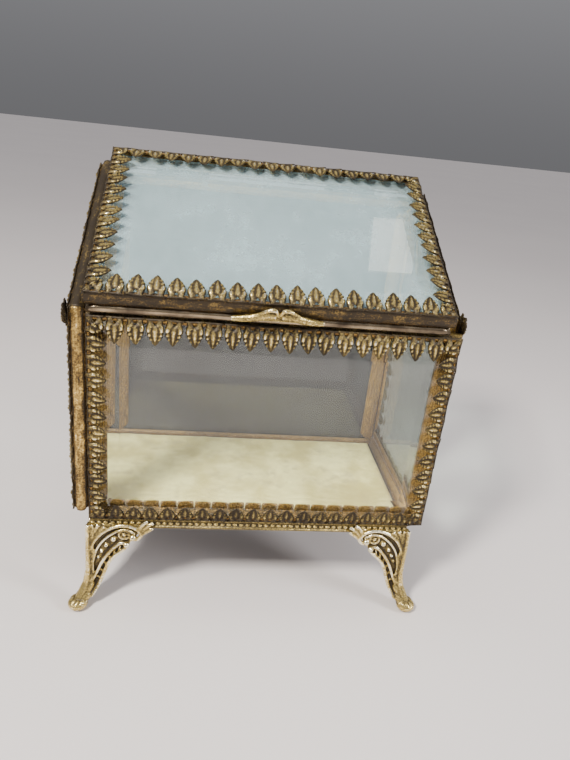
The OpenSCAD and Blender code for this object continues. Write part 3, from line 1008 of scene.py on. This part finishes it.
def make_thumb_lift():
    """Bow-shaped lift: two swept arms, a curl over each, and a cleft between them."""
    casting = Casting()
    for side in (-1, 1):
        arm = spline([(side * 0.8, 3.5, 1.35), (side * 3.2, 3.4, 1.35), (side * 6.4, 2.2, 1.05),
                      (side * 9.4, 1.4, 0.8), (side * 12.0, 1.2, 0.75)], 20)
        casting.tube(arm, taper(0.95, 0.72, 20, 0.25), flat=0.9, face=(0, 0, 1))
        curl = spline([(side * 0.3, 3.8, 1.5), (side * 1.1, 5.5, 1.5), (side * 2.9, 5.2, 1.35),
                       (side * 5.2, 3.5, 1.15), (side * 7.4, 2.6, 1.0)], 16)
        casting.tube(curl, taper(0.46, 0.34, 16, 0.16), face=(0, 0, 1))
        casting.lump((side * 1.7, 3.4, 1.2), (1.5, 1.6, 0.75))
    casting.plate([(-7.5, 0.9), (7.5, 0.9), (3.6, 2.8), (-3.6, 2.8)], 0.0, 0.8,
                  Matrix.Identity(4))
    mesh = casting.fuse(LIFT_VOXEL)
    relief_from_form(mesh, 0.45)
    lo, hi = node_box("thumb_lift")
    middle = (lo.x + hi.x) / 2 + HALF_W
    place = FACES["seat"] @ Matrix.Translation((middle + LIFT_ASIDE, -LIFT_PROUD, LIFT_RAISE))
    turn = basis((1, 0, 0), (0, 0, 1), (0, -1, 0), (0, 0, 0))
    mesh.transform(Matrix.Scale(MM, 4) @ place @ turn)
    piece = to_object("bow_thumb_lift", mesh, gilt)
    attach(piece, "lid")
    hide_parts("thumb_lift")


# --- plain rails, tray and floor --------------------------------------------------------------
def bar_section(w, h, r):
    """Rounded rectangle from (0, 0) to (w, h)."""
    made = []
    for cx, cy, a0 in ((w - r, h - r, 0), (r, h - r, 90), (r, r, 180), (w - r, r, 270)):
        for k in range(4):
            a = math.radians(a0 + 30 * k)
            made.append((cx + r * math.cos(a), cy + r * math.sin(a)))
    return made


def make_rail(edge, points, index):
    """Drawn rail under one edge of the lid, mitred at its ends."""
    start = points[index]
    run = points[(index + 1) % 4] - start
    section = bar_section(RAIL_WIDE, RAIL_HIGH, RAIL_ROUND)
    stations = round(run.length / RAIL_STEP)
    bm = bmesh.new()
    rings = []
    for s in range(stations + 1):
        ring = []
        for inward, up in section:
            x = inward + (run.length - 2 * inward) * s / stations
            sway = 0.06 * noise.noise(Vector((x * 0.12, index * 5.0, 0)))
            ring.append(bm.verts.new((x, inward + sway, up)))
        rings.append(ring)
    skin(bm, rings)
    bmesh.ops.recalc_face_normals(bm, faces=bm.faces)
    mesh = to_mesh(bm, "rail")
    turn = Matrix.Rotation(math.atan2(run.y, run.x), 4, "Z")
    place = FACES["seat"] @ Matrix.Translation((start.x, start.y, SEAT_GAP)) @ turn
    mesh.transform(Matrix.Scale(MM, 4) @ place)
    piece = to_object("drawn_rail_" + edge, mesh, rail)
    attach(piece, "lid")
    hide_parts("lid_rail_" + edge)


def make_rails():
    """The four rails round the lid's seat."""
    right = 2 * HALF_W - RAIL_INSET
    points = [Vector((RAIL_INSET, -RAIL_INSET)), Vector((right, -RAIL_INSET)),
              Vector((right, LID_LEN)), Vector((RAIL_INSET, LID_LEN))]
    for index, edge in enumerate(("front", "right", "back", "left")):
        make_rail(edge, points, index)


def bead_form():
    """Low half bead for the tray's lip."""
    bm = bmesh.new()
    relief = bm.verts.layers.float.new("relief")
    top = bm.verts.new((0, 0, 0.62))
    top[relief] = 0.75
    rings = []
    # The relief marks paint each bead lighter on top and darker at its foot: painted light and
    # painted shade.
    for radius, height, mark in ((0.26, 0.48, 0.6), (0.42, 0.24, 0.35), (0.46, 0.0, 0.10)):
        ring = []
        for k in range(8):
            a = 2 * math.pi * k / 8
            vert = bm.verts.new((radius * math.cos(a), radius * math.sin(a), height))
            vert[relief] = mark
            ring.append(vert)
        rings.append(ring)
    for k in range(8):
        n = (k + 1) % 8
        bm.faces.new((top, rings[0][k], rings[0][n]))
        for inner, outer in zip(rings, rings[1:]):
            bm.faces.new((inner[k], outer[k], outer[n], inner[n]))
    bm.faces.new(list(reversed(rings[-1])))
    return to_mesh(bm, "bead")


def end_wall(side):
    """Plain strip that stands up from the tray inside a side pane."""
    top = tray_hi.z
    deep = HALF_D - FRAME_T
    bm = bmesh.new()
    relief = bm.verts.layers.float.new("relief")
    amber = bm.verts.layers.float.new("amber")
    size = Vector((END_WALL, 2 * deep, top - PANE_Z + END_WALL_SINK))
    middle = Vector((side * (HALF_W - END_WALL_INSET), 0, top - size.z / 2))
    bmesh.ops.create_cube(bm, size=1, matrix=Matrix.Translation(middle) @ Matrix.Diagonal((*size, 1)))
    bmesh.ops.bevel(bm, geom=bm.edges[:], offset=0.25, segments=2, affect="EDGES")
    for vert in bm.verts:
        vert[relief] = 0.5
        vert[amber] = 1.0
    return to_mesh(bm, "end_wall")


def make_tray():
    """Pan with a moulded lip and a row of beads round it."""
    low = tray_lo.z
    lip = PANE_Z - tray_lo.z
    profile = [(-1.2, 1.0), (-1.2, lip), (-0.35, lip), (-0.08, lip - 0.3), (-0.35, lip - 0.75),
               (-0.55, lip * 0.5), (-0.35, 0.75), (-0.02, 0.45), (-0.15, 0.1), (-0.6, 0.0)]
    corners = [Vector((-HALF_W, -HALF_D)), Vector((HALF_W, -HALF_D)), Vector((HALF_W, HALF_D)),
               Vector((-HALF_W, HALF_D))]
    bm = bmesh.new()
    relief = bm.verts.layers.float.new("relief")
    rings = []
    for i, here in enumerate(corners):
        diagonal = Vector((math.copysign(1, here.x), math.copysign(1, here.y)))
        ring = []
        for out, up in profile:
            vert = bm.verts.new((here.x + diagonal.x * out, here.y + diagonal.y * out, low + up))
            # Recessed points of the moulding get low marks, painted as patina and shade; the proud
            # ones get higher marks.
            vert[relief] = 0.12 + 0.36 * (out > -0.4)
            ring.append(vert)
        rings.append(ring)
    for i in range(4):
        here, after = rings[i], rings[(i + 1) % 4]
        for k in range(len(profile) - 1):
            bm.faces.new((here[k], after[k], after[k + 1], here[k + 1]))
    bm.faces.new([ring[-1] for ring in rings])
    bm.faces.new([ring[0] for ring in rings])
    bmesh.ops.recalc_face_normals(bm, faces=bm.faces)
    parts = [to_mesh(bm, "pan"), end_wall(-1), end_wall(1)]
    bead = holder(bead_form())
    for i, here in enumerate(corners):
        run = corners[(i + 1) % 4] - here
        count = round(run.length / BEAD_PITCH)
        beads = set_row(bead, Count=count, Pitch=run.length / count, Length=1.3, Lean=0.0,
                        Wobble=BEAD_WOBBLE, Seed=SEED + 40 + i)
        turn = Matrix.Rotation(math.atan2(run.y, run.x), 4, "Z")
        stand = Matrix.Rotation(math.pi / 2, 4, "X")
        place = (Matrix.Translation((here.x, here.y, low + lip * 0.5)) @ turn
                 @ Matrix.Translation((0, 0.62, 0)) @ stand)
        beads.transform(place)
        parts.append(beads)
    bpy.data.objects.remove(bead)
    mesh = join(parts, "tray")
    mesh.transform(Matrix.Scale(MM, 4))
    piece = to_object("beaded_tray", mesh, gilt)
    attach(piece, "base")
    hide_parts("base_tray")


def make_pad():
    """Thin satin pad, crowned a little, drawn in between its corners, with soft pulls."""
    lo, hi = node_box("floor_pad")
    half_w = (hi.x - lo.x) / 2 - PAD_CLEAR
    half_d = (hi.y - lo.y) / 2 - PAD_CLEAR
    thick = hi.z - lo.z
    nx, ny = 96, 48
    bm = bmesh.new()
    sheets = []
    for top in (True, False):
        rows = []
        for j in range(ny + 1):
            row = []
            for i in range(nx + 1):
                u, v = 2 * i / nx - 1, 2 * j / ny - 1
                draw_x = 1 - 0.004 * (1 - v * v)
                draw_y = 1 - 0.006 * (1 - u * u)
                edge = min(1 - abs(u), (1 - abs(v)) * half_d / half_w)
                roll = 1 - max(0.0, 1 - edge / 0.035) ** 2
                crease = noise.noise(Vector((u * 5.0, v * 2.2, 1.3)))
                pull = noise.noise(Vector((u * 16.0, v * 3.0, 4.1))) * max(0, 1 - edge * 6)
                puff = 0.86 + 0.05 * crease + 0.07 * pull
                z = thick * (0.10 + 0.86 * puff * roll) if top else 0.02
                x = u * half_w * draw_x
                y = v * half_d * draw_y
                row.append(bm.verts.new((x, y, lo.z + max(0.05, z) if top else lo.z + 0.02)))
            rows.append(row)
        for j in range(ny):
            for i in range(nx):
                face = (rows[j][i], rows[j][i + 1], rows[j + 1][i + 1], rows[j + 1][i])
                bm.faces.new(face if top else tuple(reversed(face)))
        sheets.append(rows)
    upper, under = sheets
    rim = ([(0, i) for i in range(nx)] + [(j, nx) for j in range(ny)]
           + [(ny, i) for i in range(nx, 0, -1)] + [(j, 0) for j in range(ny, 0, -1)])
    for k, (j, i) in enumerate(rim):
        jn, i_n = rim[(k + 1) % len(rim)]
        bm.faces.new((under[j][i], under[jn][i_n], upper[jn][i_n], upper[j][i]))
    bmesh.ops.recalc_face_normals(bm, faces=bm.faces)
    mesh = to_mesh(bm, "pad")
    mesh.transform(Matrix.Scale(MM, 4))
    piece = to_object("satin_pad", mesh, satin)
    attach(piece, "base")
    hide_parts("floor_pad")


# --- build --------------------------------------------------------------------------------------
def coat(node, material):
    """Puts a finish on a carried-over part."""
    part = bpy.data.objects[node]
    part.data.materials.clear()
    part.data.materials.append(material)


make_gallery()
make_feet()
make_thumb_lift()
make_rails()
make_tray()
make_pad()
for side, plate in (("front", front_glass), ("left", side_glass), ("right", side_glass),
                    ("back", back_glass), ("lid", lid_glass)):
    coat("glass_" + side, plate)
for side in ("left", "right"):
    coat("hinge_plate_" + side, rail)
    coat("hinge_strap_" + side, rail)
    coat("hinge_pin_" + side, rail)
coat("floor_board", board)


# --- stage ----------------------------------------------------------------------------------------
def make_floor():
    """Wide floor that the box stands on."""
    mesh = bpy.data.meshes.new("studio_floor")
    reach = 3.0
    mesh.from_pydata([(-reach, -reach, 0), (reach, -reach, 0), (reach, reach, 0),
                      (-reach, reach, 0)], [], [(0, 1, 2, 3)])
    to_object("studio_floor", mesh, floor_finish(), smooth=False)


def soft_light(name, place, size, watts, colour, target=(0, 0, 0.07)):
    """Rectangular lamp that faces its target, with its sides level."""
    data = bpy.data.lights.new(name, "AREA")
    data.shape = "RECTANGLE"
    data.size, data.size_y = size
    data.energy = watts
    data.color = colour
    lamp = linked(name, data)
    lamp.location = place
    back = (Vector(place) - Vector(target)).normalized()
    side = (Vector((1, 0, 0)) - back * back.x).normalized()
    lamp.rotation_euler = basis(side, back.cross(side), back, (0, 0, 0)).to_euler()


def make_world():
    """Soft studio surround: brighter overhead than at the height of the box."""
    world = bpy.data.worlds.new("studio")
    world.use_nodes = True
    tree = world.node_tree
    tree.nodes.clear()
    place = add_node(tree, "ShaderNodeTexCoord")
    split = add_node(tree, "ShaderNodeSeparateXYZ", Vector=place.outputs["Generated"])
    ramp = add_node(tree, "ShaderNodeMapRange", {"interpolation_type": "SMOOTHSTEP"},
                    Value=split.outputs["Z"], From_Min=-0.1, From_Max=0.9, To_Min=0.17,
                    To_Max=0.80)
    back = add_node(tree, "ShaderNodeBackground", Color=(0.86, 0.86, 0.90, 1),
                    Strength=ramp.outputs["Result"])
    add_node(tree, "ShaderNodeOutputWorld", Surface=back.outputs[0])
    bpy.context.scene.world = world


def make_camera():
    """Stands in front, a little left of the middle and above, and leans a little."""
    place = Vector((-18.9, -184.2, 143.9)) * MM
    azimuth, elevation, roll = (math.radians(a) for a in (8.49, 22.94, 6.39))
    ahead = Vector((math.sin(azimuth) * math.cos(elevation),
                    math.cos(azimuth) * math.cos(elevation), -math.sin(elevation)))
    right = ahead.cross(Vector((0, 0, 1))).normalized()
    up = right.cross(ahead)
    x_axis = right * math.cos(roll) + up * math.sin(roll)
    y_axis = up * math.cos(roll) - right * math.sin(roll)
    data = bpy.data.cameras.new("camera")
    data.sensor_width = 36.0
    data.lens = 30.03
    data.clip_start = 0.005
    data.clip_end = 20.0
    camera = linked("camera", data)
    camera.matrix_world = basis(x_axis, y_axis, -ahead, place)
    bpy.context.scene.camera = camera


make_floor()
make_world()
soft_light("key", (-0.26, -0.30, 0.46), (0.09, 0.09), 5.6, (1.0, 0.97, 0.91))
soft_light("window", (0.165, 0.165, 0.52), (0.043, 0.052), 0.040, (1.0, 0.90, 0.78))
soft_light("side_fill", (0.42, -0.20, 0.26), (0.12, 0.18), 1.9, (0.98, 0.98, 1.0))
make_camera()
